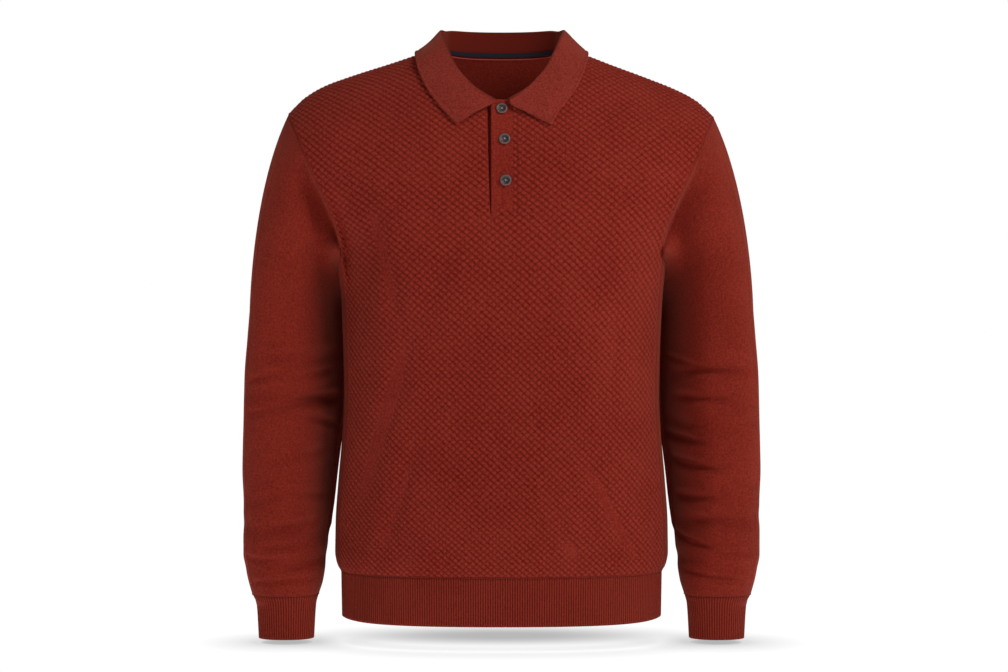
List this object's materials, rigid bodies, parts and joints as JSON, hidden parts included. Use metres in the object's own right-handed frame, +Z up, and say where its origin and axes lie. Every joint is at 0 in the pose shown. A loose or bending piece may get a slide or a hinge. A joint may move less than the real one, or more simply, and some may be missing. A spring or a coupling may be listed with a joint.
{
  "type": "long-sleeved henley sweater with a fold-down polo collar",
  "caption": "Fine-knit pullover filled out as worn, with a fold-down collar, a short buttoned placket, long sleeves and ribbed cuffs and hem.",
  "frame": {"origin": "middle of the neck at the height of the shoulder line, where the wearer's shoulders carry the garment", "axes": "+Z up, -Y towards the front of the garment, +X to the right in a front view (the wearer's left)"},
  "size_m": [0.6438, 0.2398, 0.762],
  "materials": {
    "front_knit": "matte knit with a lattice of small raised blisters",
    "plain_knit": "matte fine plain knit",
    "rib_knit": "matte fine rib knit",
    "collar_knit": "matte fine knit with a tubular edge",
    "tape": "matte woven twill",
    "button": "satin, marbled"
  },
  "bodies": {
    "root": {"body_front": "front_knit", "body_back": "plain_knit", "sleeve_left": "plain_knit", "sleeve_right": "plain_knit", "cuff_left": "rib_knit", "cuff_right": "rib_knit", "hem_rib": "rib_knit", "collar": "collar_knit", "neck_tape": "tape", "placket_overlap": "front_knit", "placket_underlap": "plain_knit", "button_1": "button", "button_2": "button", "button_3": "button"}
  },
  "joints": []
}
